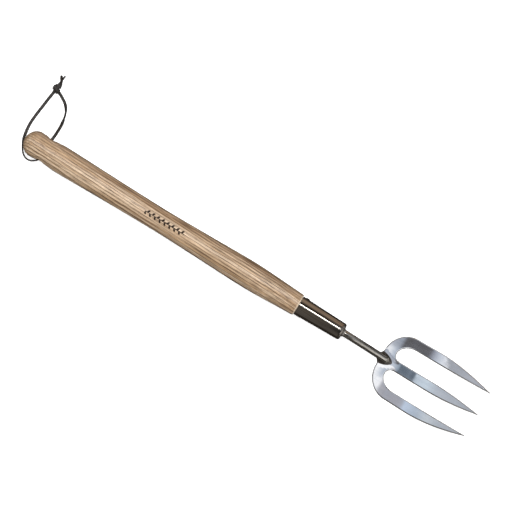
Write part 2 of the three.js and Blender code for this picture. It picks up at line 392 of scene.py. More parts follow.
def makeKnot():
    middle = Vector(lace["knotMiddle"]) * mm
    ahead = Vector(lace["knotAhead"]).normalized()
    side = ahead.cross(Vector((0, 0, 1))).normalized()
    up = side.cross(ahead)

    def at(along, across, height):
        return middle + ahead * along * mm + side * across * mm + up * height * mm

    def wrap(name, alongFrom, alongTo, wide, high, lean, turns, start):
        # The lace wound about the knot's core, its flat side to the core.
        line = []
        steps = round(44 * turns)
        for k in range(steps + 1):
            t = k / steps
            angle = math.radians(start) + 2 * math.pi * turns * t
            c, s = math.cos(angle), math.sin(angle)
            square = (abs(c) ** 3 + abs(s) ** 3) ** (-1 / 3)
            grow = 1 - 0.12 * t
            line.append(at(alongFrom + (alongTo - alongFrom) * t + lean * c,
                           wide * grow * square * c, high * grow * square * s))

        def acrossAt(i, tangent):
            away = line[i] - middle
            away = (away - ahead * away.dot(ahead)).normalized()
            return tangent.cross(away).normalized()

        laid = turnsFor(line, acrossAt)
        return sweptPiece(name, line, lace["width"] * 0.98, lace["thickness"] * 0.9, laid)

    parts = [
        wrap("knot_band", alongFrom=-3.9, alongTo=-1.6, wide=4.3, high=2.9, lean=-1.7, turns=1.4, start=200),
        wrap("knot_cross", alongFrom=-0.9, alongTo=2.4, wide=3.2, high=2.6, lean=2.0, turns=1.4, start=20),
    ]
    strands = [   # (along, across, height) of the two ends through the knot and out as tails
        [(-6.6, 2.6, -2.6), (-4.2, 1.6, -1.2), (-1, 0.7, 0), (2.5, 1.0, 0.4), (5.4, 1.4, 0),
         (8.4, 0.4, -1.2), (11.4, -1.4, -2.4), (14.2, -2.6, -2.8)],
        [(-6.2, -1.6, -2.6), (-4.2, -1, -1.2), (-1, -0.6, 0), (2.5, -0.4, 0.2), (5.4, 0.1, -1.2),
         (8.4, 0.3, -2.5), (11.4, 0.7, -2.7), (15.6, 1.4, -2.8)],
    ]
    for strand, lean in zip(strands, (35, -50)):
        line = evenly(smoothThrough([at(*p) for p in strand], 10), 0.6 * mm)
        turns = [math.radians(lean * (0.4 + k / len(line))) for k in range(len(line))]
        parts.append(sweptPiece("knot_strand", line, lace["width"] * 0.9, lace["thickness"] * 0.9, turns))
    return joined("lace_knot", parts)


def joined(name, parts):
    bm = bmesh.new()
    for part in parts:
        bm.from_mesh(part.data)
        bpy.data.objects.remove(part)
    mesh = bpy.data.meshes.new(name)
    bm.to_mesh(mesh)
    bm.free()
    piece = bpy.data.objects.new(name, mesh)
    bpy.context.scene.collection.objects.link(piece)
    shadeSmooth(piece, 50)
    return piece


laceOnCord, lacePath = makeLace()
knotOnCord = makeKnot()

# The turned handle.

handleShape = {
    "domeLength": 13.9,
    "domeRadius": 15.3,
    "stations": [   # x and radius, in millimetres, from the dome to the shoulder
        (-286.1, 15.3), (-279, 14.95), (-270.5, 14.3), (-262, 14.95), (-252, 15.55), (-222, 15.05),
        (-178, 14.2), (-119, 13.6), (-64, 14.5), (-20, 15.55), (-4, 15.7), (12, 15.4), (40, 14.1),
        (61, 13.1),
    ],
    "shoulderRounding": 1.0,
    "sides": 112,
    "boreRadii": (3.7, 2.1),   # of the blind hole for the tang, at its mouth and its end
    "boreEnd": 75.4,
    "tenonWall": 1.5,          # of socket over the tenon
    "holeRadius": 2.7,
    "mouthRadius": 5.2,
}


def quarterTurn(steps):
    return [math.pi / 2 * k / steps for k in range(steps + 1)]


def makeHandle():
    shape = handleShape
    buttX = handleLow.x / mm
    profile = [(buttX + shape["domeLength"] * (1 - math.cos(t)), shape["domeRadius"] * math.sin(t))
               for t in quarterTurn(18)]
    grip = evenly(smoothThrough([(*s, 0) for s in shape["stations"]], 10), 2.6)
    profile += [(p.x, min(p.y, axisZ / mm)) for p in grip[1:]]
    shoulderX, shoulderRadius = shape["stations"][-1]
    rounding = shape["shoulderRounding"]
    profile += [(shoulderX + rounding * math.sin(t), shoulderRadius - rounding * (1 - math.cos(t)))
                for t in quarterTurn(5)[1:]]
    faceX, tenonX, wall = profile[-1][0], handleHigh.x / mm, shape["tenonWall"]
    profile += [(faceX, socketRadius(faceX) - wall), (tenonX, socketRadius(tenonX) - wall),
                (tenonX, shape["boreRadii"][0]), (shape["boreEnd"], shape["boreRadii"][1]),
                (shape["boreEnd"], 0)]
    scaled = [(x * mm, r * mm) for x, r in profile]
    handle = turnedPiece("turned_handle", scaled, shape["sides"], onHandleAxis)
    cutAway(handle, cordHoleCutter())
    cutAway(handle, rivetHoleCutter())
    shadeSmooth(handle, 38)
    return handle


def cordHoleCutter():
    # Half the hole from its outer end, with the mouth eased by a quarter of an ellipse, then its mirror.
    reach, outside, easeDepth, easeWidth = 18, 16.6, 4.6, 4.1
    widest = handleShape["mouthRadius"] + 1.6
    mouth = [(outside - easeDepth * math.sin(t), widest - easeWidth * (1 - math.cos(t)))
             for t in quarterTurn(8)]
    mouth = [(y, max(r, handleShape["holeRadius"])) for y, r in mouth]
    half = [(reach, 0), (reach, mouth[0][1]), *mouth]
    profile = [*half, *[(-y, r) for y, r in reversed(half)]]
    scaled = [(y * mm, r * mm) for y, r in profile]
    return turnedPiece("cord_hole", scaled, 40, acrossHandle(holePlace.x))


def rivetHoleCutter():
    reach, radius = 16 * mm, rivetShape["shank"] + 0.15 * mm
    profile = [(-reach, 0), (-reach, radius), (reach, radius), (reach, 0)]
    return turnedPiece("rivet_hole", profile, 24, acrossHandle(rivetX))


# The socket, its cross rivet and the bead at its mouth.

socketShape = {
    "rearRadius": 11.5,
    "frontRadius": 10.1,
    "wall": 1.2,
    "frontWall": 2.0,
    "rounding": 2.4,
    "mouthHole": 4.35,
    "rearEdge": 0.35,
    "sides": 112,
}
rivetLow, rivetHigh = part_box("socket_rivet")
rivetX = (rivetLow.x + rivetHigh.x) / 2
rivetShape = {"shank": 1.9 * mm, "head": 2.9 * mm, "headHeight": 0.95 * mm}


def socketRadius(x):
    # The socket's outer radius in millimetres, on its straight taper.
    rear, front = socketLow.x / mm, socketHigh.x / mm
    share = (x - rear) / (front - rear)
    return socketShape["rearRadius"] + share * (socketShape["frontRadius"] - socketShape["rearRadius"])


def makeSocket():
    shape = socketShape
    rear, front = socketLow.x / mm, socketHigh.x / mm
    rounding, hole, edge = shape["rounding"], shape["mouthHole"], shape["rearEdge"]
    profile = [(rear + edge * (1 - math.sin(t)), shape["rearRadius"] - edge * (1 - math.cos(t)))
               for t in reversed(quarterTurn(3))]
    straight = [rear + 1 + k * (front - rounding - rear - 1) / 24 for k in range(25)]
    profile += [(x, socketRadius(x)) for x in straight]
    profile += [(front - rounding * (1 - math.sin(t)), shape["frontRadius"] - rounding * (1 - math.cos(t)))
                for t in quarterTurn(10)[1:]]
    profile += [(front, hole + 0.3), (front - 0.3, hole), (front - shape["frontWall"], hole)]
    innerFront = front - shape["frontWall"]
    profile += [(innerFront, socketRadius(innerFront) - shape["wall"]),
                (rear, shape["rearRadius"] - shape["wall"])]
    scaled = [(x * mm, r * mm) for x, r in profile]
    socket = turnedPiece("steel_socket", [*scaled, scaled[0]], shape["sides"], onHandleAxis)
    cutAway(socket, rivetHoleCutter())
    shadeSmooth(socket, 38)
    return socket


def makeRivet():
    seat = socketRadius(rivetX / mm) * mm - 0.1 * mm
    head = [(seat + rivetShape["headHeight"] * math.sin(t), rivetShape["head"] * math.cos(t) ** 0.8)
            for t in quarterTurn(9)[:-1]]
    head.append((seat + rivetShape["headHeight"], 0))
    farHead = [(-seat - 0.35 * (y - seat), r) for y, r in reversed(head)]
    profile = [*farHead, (-seat, rivetShape["shank"]), (seat, rivetShape["shank"]), *head]
    return turnedPiece("rivet", profile, 40, acrossHandle(rivetX))


mouthWeldShape = {
    "gap": 0.05,
    "length": 2.1,
    "frontRadius": 4.2,
    "flare": 1.3,
    "innerRadius": 4.05,
}


def makeMouthWeld():
    # A hollow-flanked ring that narrows from the socket's mouth to the rod.
    shape = mouthWeldShape
    start, steps = socketHigh.x / mm + shape["gap"], 8
    profile = [(start + shape["length"] * t, shape["frontRadius"] + shape["flare"] * (1 - t) ** 2.2)
               for t in [k / steps for k in range(steps + 1)]]
    profile += [(profile[-1][0], shape["innerRadius"]), (start, shape["innerRadius"])]
    scaled = [(x * mm, r * mm) for x, r in profile]
    return turnedPiece("mouth_weld", [*scaled, scaled[0]], 64, onHandleAxis)


handle = makeHandle()
print("handle turned")
socket = makeSocket()
rivet = makeRivet()
mouthWeld = makeMouthWeld()
print("socket, rivet and mouth weld made")

# The bent neck rod.

neckShape = {
    "radius": 4.1,
    "route": [   # x and z in millimetres
        (116, 15.7), (121, 15.7), (128, 15.6), (140, 14.2), (152, 12), (163, 10.1), (171.4, 8.95),
        (180, 7.95), (183.6, 7.55),
    ],
    "tangEnd": 76,
    "sides": 56,
}
neckRoute = [(x, 0, z) for x, z in neckShape["route"]]


def neckAxisZ(x):
    line = smoothThrough(neckRoute, 12)
    for a, b in zip(line, line[1:]):
        if a.x <= x <= b.x:
            return a.z + (b.z - a.z) * (x - a.x) / (b.x - a.x)
    return line[-1].z


def makeNeckRod():
    # A taper inside the handle, then the bent rod with a round end on the head.
    shape = neckShape
    radius = shape["radius"]

    def onAxis(along):
        return Vector((shape["tangEnd"] + along, 0, axisZ / mm))

    line = [(onAxis(0), 0.3), (onAxis(0.5), 1.2)]
    line += [(onAxis(3 + 5.8 * k), 1.8 + 0.22 * k) for k in range(7)]
    bent = evenly(smoothThrough(neckRoute, 12), 1.0)
    roundEnd = 1.25 * radius
    for point in bent:
        toEnd = min(1, (bent[-1] - point).length / roundEnd)
        line.append((point, radius * max(0.03, math.sqrt(1 - (1 - toEnd) ** 2))))
    points = [p * mm for p, r in line]
    sizes = [r / radius for p, r in line]
    return sweptPiece("neck_rod_round", points, 2 * radius * mm, 0, [0.0] * len(line), sizes, roundSweep,
                      shape["sides"])


# The head, one bent plate with three tines.

headShape = {
    "rearX": 171.4,
    "bellyStart": 198,
    "bellyEnd": 211,
    "rootBend": 180,
    "tineBend": 270,
    "thickness": 2.5,
    "halfWidth": 39.8,
    "tineEdge": 6.3,
    "innerEdge": 27,
    "slotRoot": 186.1,
    "tipX": 300,
}


def undersideAt(x):
    s = headShape
    if x < s["bellyStart"]:
        return s["rootBend"] - math.sqrt(s["rootBend"] ** 2 - (s["bellyStart"] - x) ** 2)
    if x > s["bellyEnd"]:
        return s["tineBend"] - math.sqrt(s["tineBend"] ** 2 - (x - s["bellyEnd"]) ** 2)
    return 0


def halfEdge():
    # The +Y half of the outline, from the rear edge's middle round the outer tine to the middle tine's tip.
    s = headShape
    full, tip = s["halfWidth"], s["tipX"]
    edge, inner, root = s["tineEdge"], s["innerEdge"], s["slotRoot"]
    line = [(s["rearX"], 0), (s["rearX"] + 0.1, 4), (s["rearX"] + 0.3, 7)]
    line += bezier((172, 10), (172, 26.2), (184.5, full - 0.5), (200, full - 0.5), 34)
    line += bezier((200, full - 0.5), (210, full - 0.5), (220, full), (230, full), 20)
    line += bezier((230, full), (255, full), (280, 34), (299.2, 28.6), 50)
    line += bezier((299.2, 28.6), (299.8, 28.4), (tip, 28.1), (299.2, 27.7), 6)
    line += bezier((299.2, 27.7), (270, 27.5), (240, 27.2), (205, inner), 60)
    line += bezier((205, inner), (193, inner), (root, 20), (root, 13), 26)
    line += bezier((root, 13), (root, 8.8), (189.5, edge), (193, edge), 14)
    line += bezier((193, edge), (207, edge), (221, edge), (235, edge), 30)
    line += bezier((235, edge), (262, edge), (283, 3), (299.2, 0.6), 50)
    return [*line, (299.2, 0.6)]


def ridgeAt(x, y):
    # The web behind the middle tine is pressed up a little round the rod's end.
    half = 9.5 - 4.5 * easeBetween(x, 172, 190)
    flank = 1 - easeBetween(abs(y), half - 3.5, half + 1.5)
    return 0.3 * flank * (1 - easeBetween(x, 184, 199))


def makeForkHead():
    s = headShape
    half = halfEdge()
    outline = [Vector(p) for p in half]
    outline += [Vector((s["tipX"] - 0.1, 0))]
    outline += [Vector((x, -y)) for x, y in reversed(half[1:])]
    count = len(outline)
    # Inward directions, and the widest circle that fits inside the edge at each point.
    inward, room = [], []
    for i in range(count):
        along = (outline[(i + 1) % count] - outline[i - 1]).normalized()
        inward.append(Vector((along.y, -along.x)))
    for i, p in enumerate(outline):
        widest = 100.0
        for q in outline[::2]:
            away = q - p
            depth = away.dot(inward[i])
            if depth > 1e-4:
                widest = min(widest, away.length_squared / (2 * depth))
        room.append(widest)
    radius = s["thickness"] / 2
    points, normals, faces = [], [], []
    arc = [math.radians(a) for a in (-90, -72, -52, -30, 0, 30, 52, 72, 90)]
    for angle in arc:
        for i, p in enumerate(outline):
            scale = min(1, 0.94 * room[i] / radius)
            inset = radius * (1 - math.cos(angle)) * scale
            at = p + inward[i] * inset
            points.append([at.x, at.y, radius + radius * math.sin(angle) * scale ** 0.5])
            out = -inward[i] * math.cos(angle)
            normals.append([out.x, out.y, math.sin(angle)])
    for ring in range(len(arc) - 1):
        a, b = ring * count, (ring + 1) * count
        faces += [(a + k, a + (k + 1) % count, b + (k + 1) % count, b + k) for k in range(count)]
    faces.append(tuple(reversed(range(count))))
    faces.append(tuple(range((len(arc) - 1) * count, len(arc) * count)))
    head = meshPiece("fork_head_plate", points, faces)
    bm = bmesh.new()
    bm.from_mesh(head.data)
    bmesh.ops.recalc_face_normals(bm, faces=bm.faces)
    # Cuts that let the flat plate bend, closer together across the web's ridge.
    cuts = [((174 + 2.0 * k, 0, 0), (1, 0, 0)) for k in range(63)]
    ridgeCuts = (-12, -10, -8.5, -7, -5.5, -4, -2, 0, 2, 4, 5.5, 7, 8.5, 10, 12)
    cuts += [((0, y, 0), (0, 1, 0)) for y in ridgeCuts]
    for place, normal in cuts:
        everything = bm.verts[:] + bm.edges[:] + bm.faces[:]
        bmesh.ops.bisect_plane(bm, geom=everything, dist=1e-5, plane_co=place, plane_no=normal)
    smoothNormals = []
    near = 0.05
    for v in bm.verts:
        v.normal_update()
    for v in bm.verts:
        x, y = v.co.xy
        slope = (undersideAt(x + near) - undersideAt(x - near)) / (2 * near)
        ridgeX = (ridgeAt(x + near, y) - ridgeAt(x - near, y)) / (2 * near)
        ridgeY = (ridgeAt(x, y + near) - ridgeAt(x, y - near)) / (2 * near)
        n = flatNormal(v, s["thickness"])
        n = Vector((n.x - (slope + ridgeX) * n.z, n.y - ridgeY * n.z, n.z)).normalized()
        smoothNormals.append(n)
    for v in bm.verts:
        x, y, z = v.co
        v.co = Vector((x, y, z + undersideAt(x) + ridgeAt(x, y))) * mm
    bm.to_mesh(head.data)
    bm.free()
    head.data.shade_smooth()
    head.data.normals_split_custom_set_from_vertices([tuple(n) for n in smoothNormals])
    return head


def flatNormal(v, thickness):
    # Straight up or down on the two flat sides, and the rounded edge's own normal between them.
    flat = [f.normal for f in v.link_faces if abs(f.normal.z) > 0.999]
    if flat:
        return Vector((0, 0, 1 if flat[0].z > 0 else -1))
    return v.normal.copy()


weldShape = {
    "backX": 166.4,
    "tipX": 187.2,
    "halfWidth": 8.2,
    "rodSide": 4.0,      # its half width where it leaves the rod
    "overRod": 4.6,      # how far out it is round like the rod
    "stations": 56,
    "across": 20,
}


def makeHeadWeld():
    # A bead that flares from the rod's sides, wraps its end and runs out to a point on the head.
    shape = weldShape
    backX, rearX, tipX = shape["backX"], headShape["rearX"], shape["tipX"]
    side, widest, overRod = shape["rodSide"], shape["halfWidth"], shape["overRod"]
    rodEnd = neckRoute[-1][0]
    points, faces = [], []
    for k in range(shape["stations"] + 1):
        x = backX + (tipX - backX) * (1 - math.cos(math.pi * k / shape["stations"])) / 2
        run = min(1, (x - backX) / (rearX - backX))
        over = max(0, (x - rearX) / (tipX - rearX))
        if over == 0:
            width = side + (widest - side) * run ** 3.6
        else:
            width = max(0.06, widest * (1 - over ** 1.7) ** 0.62)
        crown = neckAxisZ(min(x, rodEnd)) + neckShape["radius"] + 0.25 * run
        crown -= 5.6 * easeBetween(x, 178, tipX + 0.6)
        row = []
        for j in range(shape["across"] + 1):
            q = -1 + 2 * j / shape["across"]
            y = q * width
            plate = undersideAt(max(x, rearX)) + headShape["thickness"] + ridgeAt(x, y) * (x > rearX)
            onPlate = easeBetween(x, rearX - 1.6, rearX + 0.4)
            toe = (neckAxisZ(x) - 1.6) * (1 - onPlate) + (plate + 0.06) * onPlate
            rise = max(0.03, crown - toe)
            # Round over the rod, hollow between the rod and the head.
            rod = math.sqrt(max(0, 1 - (y / overRod) ** 2))
            hollow = (1 - abs(q)) ** 0.85
            row.append((x, y, toe + rise * max(0, 0.58 * rod * (1 - q * q) ** 0.3 + 0.42 * hollow)))
        row += [(x, (1 - 2 * j / shape["across"]) * width,
                 min(row[-1 - j][2], toe) - 0.6 - 1.4 * (1 - over)) for j in range(1, shape["across"])]
        points.append(row)
    count = len(points[0])
    flat = [Vector(p) * mm for row in points for p in row]
    for k in range(len(points) - 1):
        a, b = k * count, (k + 1) * count
        faces += [(a + j, b + j, b + (j + 1) % count, a + (j + 1) % count) for j in range(count)]
    faces += [tuple(range(count)), tuple(range(len(flat) - count, len(flat)))]
    bead = meshPiece("head_weld_bead", flat, faces)
    smooth = bead.modifiers.new("smooth", "CORRECTIVE_SMOOTH")
    smooth.iterations, smooth.use_only_smooth = 3, True
    baked(bead)
    tidyNormals(bead)
    shadeSmooth(bead, 70)
    return bead


neckRod = makeNeckRod()
forkHead = makeForkHead()
headWeld = makeHeadWeld()
print("neck, head and head weld made")


# Shader helpers, and the two effects that several materials use.

def shade(red, green, blue):
    # A colour from 0-255 display values, as Blender's linear ones.
    linear = [v / 255 / 12.92 if v <= 10 else ((v / 255 + 0.055) / 1.055) ** 2.4 for v in (red, green, blue)]
    return (*linear, 1)


def newMaterial(name):
    material = bpy.data.materials.new(name)
    material.use_nodes = True
    tree = material.node_tree
    place = put(tree, "ShaderNodeTexCoord").outputs["Object"]
    return material, tree, tree.nodes["Principled BSDF"], place


def mapped(tree, vector, scale=(1, 1, 1), rotation=(0, 0, 0), location=(0, 0, 0)):
    node = put(tree, "ShaderNodeMapping", {"Vector": vector, "Scale": scale, "Location": location,
                                           "Rotation": [math.radians(a) for a in rotation]})
    return node.outputs[0]


def noise(tree, vector, scale, detail=2.0, roughness=0.5, distortion=0.0):
    return put(tree, "ShaderNodeTexNoise", {"Vector": vector, "Scale": scale, "Detail": detail,
                                            "Roughness": roughness, "Distortion": distortion}).outputs["Fac"]


def between(tree, value, low, high, toLow=0.0, toHigh=1.0):
    node = put(tree, "ShaderNodeMapRange", {"Value": value, "From Min": low, "From Max": high,
                                            "To Min": toLow, "To Max": toHigh},
               interpolation_type="SMOOTHSTEP")
    return node.outputs[0]


def blended(tree, factor, first, second, mode="MIX"):
    node = put(tree, "ShaderNodeMix", data_type="RGBA", blend_type=mode)
    for value, index in ((factor, 0), (first, 6), (second, 7)):
        wire(tree, value, node.inputs[index])
    return node.outputs[2]


def ramp(tree, value, stops, interpolation="LINEAR"):
    node = put(tree, "ShaderNodeValToRGB", {"Fac": value})
    node.color_ramp.interpolation = interpolation
    elements = node.color_ramp.elements
    elements.remove(elements[-1])
    for i, (place, colour) in enumerate(stops):
        element = elements[0] if i == 0 else elements.new(place)
        element.position, element.color = place, colour
    return node.outputs["Color"]


def split(tree, vector):
    return put(tree, "ShaderNodeSeparateXYZ", {0: vector}).outputs


def bumped(tree, height, distance, strength=1.0):
    bump = put(tree, "ShaderNodeBump", {"Height": height, "Distance": distance, "Strength": strength})
    return bump.outputs[0]


def effectGroup(name, given, made):
    tree = bpy.data.node_groups.new(name, "ShaderNodeTree")
    for key, kind in given:
        tree.interface.new_socket(name=key, in_out="INPUT", socket_type=kind)
    for key in made:
        tree.interface.new_socket(name=key, in_out="OUTPUT", socket_type="NodeSocketFloat")
    return tree, tree.nodes.new("NodeGroupInput").outputs


def effect(tree, group, values):
    node = put(tree, "ShaderNodeGroup", None, node_tree=group)
    for key, value in values.items():
        wire(tree, value, node.inputs[key])
    return node.outputs


def streakGroup():
    # Long streaks along X, fine and broad, as fibres in wood and brush lines in steel.
    taken = [("Vector", "NodeSocketVector"), ("Density", "NodeSocketFloat"), ("Length", "NodeSocketFloat")]
    tree, given = effectGroup("streaksAlong", taken, ["Fine", "Broad"])
    parts = split(tree, given["Vector"])
    along = calc(tree, "DIVIDE", parts["X"], given["Length"])
    spread = put(tree, "ShaderNodeCombineXYZ", {"X": along, "Y": parts["Y"], "Z": parts["Z"]}).outputs[0]
    fine = noise(tree, spread, given["Density"], 3, 0.62)
    broad = noise(tree, spread, times(tree, given["Density"], 0.23), 2, 0.5)
    put(tree, "NodeGroupOutput", {"Fine": fine, "Broad": broad})
    return tree


def handledGroup():
    # Cloudy smudges and tiny specks left by handling, as masks.
    tree, given = effectGroup("handled", [("Vector", "NodeSocketVector"), ("Size", "NodeSocketFloat")],
                              ["Smudge", "Speck"])
    scale = calc(tree, "DIVIDE", 1.0, given["Size"])
    cloud = noise(tree, given["Vector"], scale, 4, 0.62, 0.6)
    dust = noise(tree, given["Vector"], times(tree, scale, 22), 1, 0.4)
    put(tree, "NodeGroupOutput",
        {"Smudge": between(tree, cloud, 0.42, 0.68), "Speck": between(tree, dust, 0.7, 0.78)})
    return tree


streaksAlong = streakGroup()
handled = handledGroup()

# Ash with a sprig burned into it.

ashLook = {
    "ringSpacing": 3.1 * mm,
    "pith": (0, 0.072, 0.022),          # the middle of the growth rings, in metres
    "lean": (0, 0.6, 1.2),              # how the grain leans from the handle's axis, in degrees
    "pale": shade(193, 171, 145),
    "body": shade(154, 126, 94),
    "line": shade(78, 56, 38),
    "pore": shade(78, 56, 38),
    "burn": shade(26, 13, 6),
    "roughness": 0.43,
}
sprig = {
    "from": -141 * mm,
    "to": -90 * mm,
    "middleY": -1.0 * mm,
    "pitch": 6.4 * mm,
    "leafLength": 4.4 * mm,
    "leafWidth": 2.3 * mm,
    "stem": 0.42 * mm,
    "leafAngle": 48,
}


def leafMask(tree, x, y, shift, flip):
    # One row of leaves: 1 on a leaf, each rooted on the stem.
    turn = math.radians(sprig["leafAngle"])
    cell = minus(tree, x, sprig["from"] + shift)
    cell = calc(tree, "MODULO", plus(tree, cell, 100 * sprig["pitch"]), sprig["pitch"])
    u = minus(tree, cell, 0.5 * sprig["pitch"] - 0.7 * mm)
    v = times(tree, y, flip)
    c, s = math.cos(turn), math.sin(turn)
    along = plus(tree, times(tree, u, c), times(tree, v, s))
    across = minus(tree, times(tree, v, c), times(tree, u, s))
    half = sprig["leafLength"] / 2
    share = calc(tree, "DIVIDE", minus(tree, along, half + 0.2 * mm), half)
    bulge = minus(tree, 1.0, times(tree, share, share))
    limit = times(tree, bulge, sprig["leafWidth"] / 2)
    inside = minus(tree, limit, calc(tree, "ABSOLUTE", across))
    return between(tree, inside, -0.06 * mm, 0.1 * mm)


def sprigMask(tree, place):
    parts = split(tree, place)
    x = parts["X"]
    y = minus(tree, parts["Y"], sprig["middleY"])
    upper = leafMask(tree, x, y, 0, 1)
    lower = leafMask(tree, x, y, sprig["pitch"] / 2, -1)
    stem = between(tree, calc(tree, "ABSOLUTE", y), sprig["stem"] + 0.1 * mm, sprig["stem"] - 0.1 * mm)
    marks = calc(tree, "MAXIMUM", calc(tree, "MAXIMUM", upper, lower), stem)
    soft = 0.2 * mm
    afterStart = between(tree, x, sprig["from"] - soft, sprig["from"] + soft)
    beforeEnd = between(tree, x, sprig["to"] + soft, sprig["to"] - soft)
    ends = times(tree, afterStart, beforeEnd)
    above = between(tree, parts["Z"], axisZ, axisZ + 1 * mm)
    patchy = between(tree, noise(tree, place, 900, 3, 0.6), 0.2, 0.5, 0.86, 1.0)
    return times(tree, times(tree, marks, ends), times(tree, above, patchy))


def makeAsh():
    look = ashLook
    material, tree, shader, place = newMaterial("ash")
    leaned = mapped(tree, place, rotation=look["lean"], location=[-c for c in look["pith"]])
    slow = mapped(tree, leaned, scale=(0.32, 1, 1))
    parts = split(tree, leaned)
    wave = times(tree, minus(tree, noise(tree, slow, 30, 2, 0.5), 0.5), 3.4 * mm)
    ripple = times(tree, minus(tree, noise(tree, slow, 240, 2, 0.5), 0.5), 0.8 * mm)
    flat = put(tree, "ShaderNodeCombineXYZ", {"Y": parts["Y"], "Z": parts["Z"]}).outputs[0]
    distance = put(tree, "ShaderNodeVectorMath", {0: flat}, operation="LENGTH").outputs["Value"]
    depth = plus(tree, distance, plus(tree, wave, ripple))
    phase = calc(tree, "FRACT", calc(tree, "DIVIDE", depth, look["ringSpacing"]))
    # How much early wood there is across one growth ring.
    ring = ((0, 0.1), (0.05, 0.9), (0.17, 1), (0.3, 0.3), (0.6, 0.12), (1, 0.0))
    early = ramp(tree, phase, [(p, (v, v, v, 1)) for p, v in ring])
    streak = effect(tree, streaksAlong, {"Vector": leaned, "Density": 1250.0, "Length": 46.0})
    hair = effect(tree, streaksAlong, {"Vector": leaned, "Density": 4200.0, "Length": 22.0})
    patch = noise(tree, slow, 60, 3, 0.55)
    paleShare = between(tree, streak["Broad"], 0.29, 0.71)
    ground = blended(tree, paleShare, look["body"], look["pale"])
    lineShare = times(tree, early, between(tree, patch, 0.3, 0.62, 0.38, 0.95))
    grown = blended(tree, lineShare, ground, look["line"])
    poreShare = plus(tree, times(tree, early, 0.62), 0.24)
    pores = times(tree, between(tree, hair["Fine"], 0.53, 0.6), poreShare)
    pored = blended(tree, pores, grown, look["pore"])
    fibre = ramp(tree, streak["Fine"], [(0.34, (0.21, 0.19, 0.17, 1)), (0.66, (0.76, 0.76, 0.76, 1))])
    fibred = blended(tree, 0.9, pored, fibre, "OVERLAY")
    # The +Y flank is painted darker and warmer, as painted shade on that side, and the handled patches are a
    # little darker and warmer.
    own = split(tree, place)
    flank = between(tree, own["Y"], 3 * mm, 14 * mm)
    held = effect(tree, handled, {"Vector": place, "Size": 0.05})
    toned = blended(tree, times(tree, flank, 0.42), fibred, shade(150, 112, 80), "MULTIPLY")
    grime = times(tree, held["Smudge"], 0.16)
    toned = blended(tree, grime, toned, shade(168, 128, 92), "MULTIPLY")
    # A pale ring round the shoulder's rounded edge: a painted highlight.
    shoulder = between(tree, own["X"], 60.2 * mm, 61.8 * mm)
    toned = blended(tree, times(tree, shoulder, 0.7), toned, shade(232, 214, 190))
    burn = sprigMask(tree, place)
    wire(tree, blended(tree, burn, toned, look["burn"]), shader.inputs["Base Color"])
    rough = plus(tree, look["roughness"], times(tree, pores, 0.3))
    uneven = times(tree, minus(tree, streak["Fine"], 0.5), 0.3)
    rough = plus(tree, rough, uneven)
    charred = times(tree, burn, 0.5)
    wire(tree, calc(tree, "ADD", rough, charred, clamp=True), shader.inputs["Roughness"])
    sunk = plus(tree, times(tree, pores, 0.8), times(tree, early, 0.16))
    height = minus(tree, times(tree, streak["Fine"], 0.3), sunk)
    height = minus(tree, height, times(tree, burn, 1.4))
    wire(tree, bumped(tree, height, 0.11 * mm), shader.inputs["Normal"])
    oiled = times(tree, minus(tree, 1.0, burn), 0.25)
    wire(tree, oiled, shader.inputs["Coat Weight"])
    shader.inputs["Coat Roughness"].default_value = 0.3
    return material


# The steels, the welds and the leather.

def makeSteel(name, colour, tint, roughness, density, length, brush, smudge, edge=1.0):
    # Polished steel: brush lines along the tool, smudges and specks over a base colour and a lighter tint.
    # The edge is how much of its glancing reflection the steel keeps.
    material, tree, shader, place = newMaterial(name)
    line = effect(tree, streaksAlong, {"Vector": place, "Density": density, "Length": length})
    mark = effect(tree, handled, {"Vector": place, "Size": 0.012})
    toned = blended(tree, between(tree, line["Broad"], 0.36, 0.64), colour, tint)
    brushed = times(tree, between(tree, line["Fine"], 0.35, 0.68), brush)
    toned = blended(tree, brushed, toned, (0.32, 0.3, 0.28, 1), "MULTIPLY")
    toned = blended(tree, times(tree, mark["Speck"], 0.35), toned, shade(60, 52, 46))
    shader.inputs["Specular Tint"].default_value = (edge, edge, edge, 1)
    wire(tree, toned, shader.inputs["Base Color"])
    rough = plus(tree, roughness, times(tree, mark["Smudge"], smudge))
    uneven = times(tree, minus(tree, line["Fine"], 0.5), brush * 0.3)
    rough = plus(tree, rough, uneven)
    wire(tree, calc(tree, "MAXIMUM", rough, 0.03), shader.inputs["Roughness"])
    wire(tree, bumped(tree, line["Fine"], 0.01 * mm, 0.25 * brush), shader.inputs["Normal"])
    shader.inputs["Metallic"].default_value = 1
    return material


def makeMirrorSteel():
    # Mirror-polished: a slow waviness of the pressed sheet, faint polish lines and cloudy handling marks.
    material, tree, shader, place = newMaterial("mirrorSteel")
    line = effect(tree, streaksAlong, {"Vector": place, "Density": 1300.0, "Length": 9.0})
    mark = effect(tree, handled, {"Vector": place, "Size": 0.02})
    base = blended(tree, between(tree, line["Broad"], 0.3, 0.7), shade(238, 240, 243), shade(248, 248, 249))
    base = blended(tree, times(tree, mark["Smudge"], 0.3), base, shade(222, 224, 228))
    base = blended(tree, times(tree, mark["Speck"], 0.25), base, shade(150, 150, 152))
    wire(tree, base, shader.inputs["Base Color"])
    rough = plus(tree, 0.03, times(tree, mark["Smudge"], 0.045))
    rough = plus(tree, rough, times(tree, line["Fine"], 0.02))
    wire(tree, rough, shader.inputs["Roughness"])
    wave = noise(tree, mapped(tree, place, scale=(0.7, 1, 1)), 75, 1, 0.4)
    height = plus(tree, wave, times(tree, line["Fine"], 0.012))
    wire(tree, bumped(tree, height, 0.05 * mm), shader.inputs["Normal"])
    shader.inputs["Metallic"].default_value = 1
    return material


